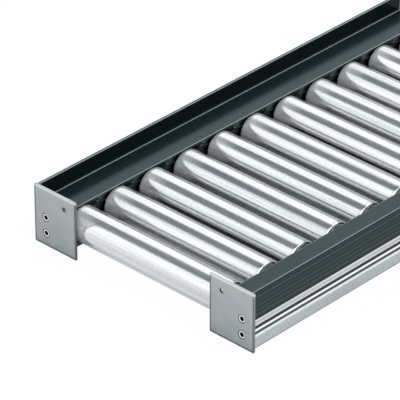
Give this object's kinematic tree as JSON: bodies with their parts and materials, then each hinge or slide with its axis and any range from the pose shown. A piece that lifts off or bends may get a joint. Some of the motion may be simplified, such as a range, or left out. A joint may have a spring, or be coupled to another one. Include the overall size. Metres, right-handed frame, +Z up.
{
  "type": "roller conveyor track",
  "caption": "Straight roller conveyor track: aluminium side rails, dark guide covers that form a channel, steel end plates and freely turning steel rollers on fixed hexagonal axles.",
  "frame": {"origin": "on the support plane, under the middle of the track: centre of the bounding box's bottom face", "axes": "+X across the track towards the right rail, +Y along the track and the way goods travel, +Z up; the left rail is at -X and the front end is at -Y"},
  "size_m": [0.396, 0.7334, 0.089],
  "materials": {
    "anodised_aluminium": "drawn and clear anodised, satin, fine lines along its length",
    "slate_cover": "smooth extruded plastic, dark slate, glossy on its flats",
    "plate_steel": "zinc plated sheet, even satin grey with bright edges",
    "zinc_plated_tube": "bright zinc plated drawn tube with lengthwise streaks",
    "bearing_unit": "black moulded plastic",
    "axle_steel": "drawn hexagonal bar, zinc plated"
  },
  "bodies": {
    "track_frame": {"left_side_profile": "anodised_aluminium", "right_side_profile": "anodised_aluminium", "left_guide_cover": "slate_cover", "right_guide_cover": "slate_cover", "front_left_end_plate": "plate_steel", "front_right_end_plate": "plate_steel", "rear_left_end_plate": "plate_steel", "rear_right_end_plate": "plate_steel", "left_bearings": "bearing_unit", "right_bearings": "bearing_unit", "roller_01_axle": "axle_steel", "roller_02_axle": "axle_steel", "roller_03_axle": "axle_steel", "roller_04_axle": "axle_steel", "roller_05_axle": "axle_steel", "roller_06_axle": "axle_steel", "roller_07_axle": "axle_steel", "roller_08_axle": "axle_steel", "roller_09_axle": "axle_steel", "roller_10_axle": "axle_steel", "roller_11_axle": "axle_steel", "tie_bar_1": "anodised_aluminium", "tie_bar_2": "anodised_aluminium", "tie_bar_3": "anodised_aluminium"},
    "roller_01": {"roller_01_tube": "zinc_plated_tube"},
    "roller_02": {"roller_02_tube": "zinc_plated_tube"},
    "roller_03": {"roller_03_tube": "zinc_plated_tube"},
    "roller_04": {"roller_04_tube": "zinc_plated_tube"},
    "roller_05": {"roller_05_tube": "zinc_plated_tube"},
    "roller_06": {"roller_06_tube": "zinc_plated_tube"},
    "roller_07": {"roller_07_tube": "zinc_plated_tube"},
    "roller_08": {"roller_08_tube": "zinc_plated_tube"},
    "roller_09": {"roller_09_tube": "zinc_plated_tube"},
    "roller_10": {"roller_10_tube": "zinc_plated_tube"},
    "roller_11": {"roller_11_tube": "zinc_plated_tube"}
  },
  "joints": [
    {"name": "roller_01_spin", "type": "hinge", "parent": "track_frame", "child": "roller_01", "pos_m": [0, -0.33333, 0.0367], "axis": [1, 0, 0], "continuous": true},
    {"name": "roller_02_spin", "type": "hinge", "parent": "track_frame", "child": "roller_02", "pos_m": [0, -0.26667, 0.0367], "axis": [1, 0, 0], "continuous": true},
    {"name": "roller_03_spin", "type": "hinge", "parent": "track_frame", "child": "roller_03", "pos_m": [0, -0.2, 0.0367], "axis": [1, 0, 0], "continuous": true},
    {"name": "roller_04_spin", "type": "hinge", "parent": "track_frame", "child": "roller_04", "pos_m": [0, -0.13333, 0.0367], "axis": [1, 0, 0], "continuous": true},
    {"name": "roller_05_spin", "type": "hinge", "parent": "track_frame", "child": "roller_05", "pos_m": [0, -0.06667, 0.0367], "axis": [1, 0, 0], "continuous": true},
    {"name": "roller_06_spin", "type": "hinge", "parent": "track_frame", "child": "roller_06", "pos_m": [0, 0, 0.0367], "axis": [1, 0, 0], "continuous": true},
    {"name": "roller_07_spin", "type": "hinge", "parent": "track_frame", "child": "roller_07", "pos_m": [0, 0.06667, 0.0367], "axis": [1, 0, 0], "continuous": true},
    {"name": "roller_08_spin", "type": "hinge", "parent": "track_frame", "child": "roller_08", "pos_m": [0, 0.13333, 0.0367], "axis": [1, 0, 0], "continuous": true},
    {"name": "roller_09_spin", "type": "hinge", "parent": "track_frame", "child": "roller_09", "pos_m": [0, 0.2, 0.0367], "axis": [1, 0, 0], "continuous": true},
    {"name": "roller_10_spin", "type": "hinge", "parent": "track_frame", "child": "roller_10", "pos_m": [0, 0.26667, 0.0367], "axis": [1, 0, 0], "continuous": true},
    {"name": "roller_11_spin", "type": "hinge", "parent": "track_frame", "child": "roller_11", "pos_m": [0, 0.33333, 0.0367], "axis": [1, 0, 0], "continuous": true}
  ]
}
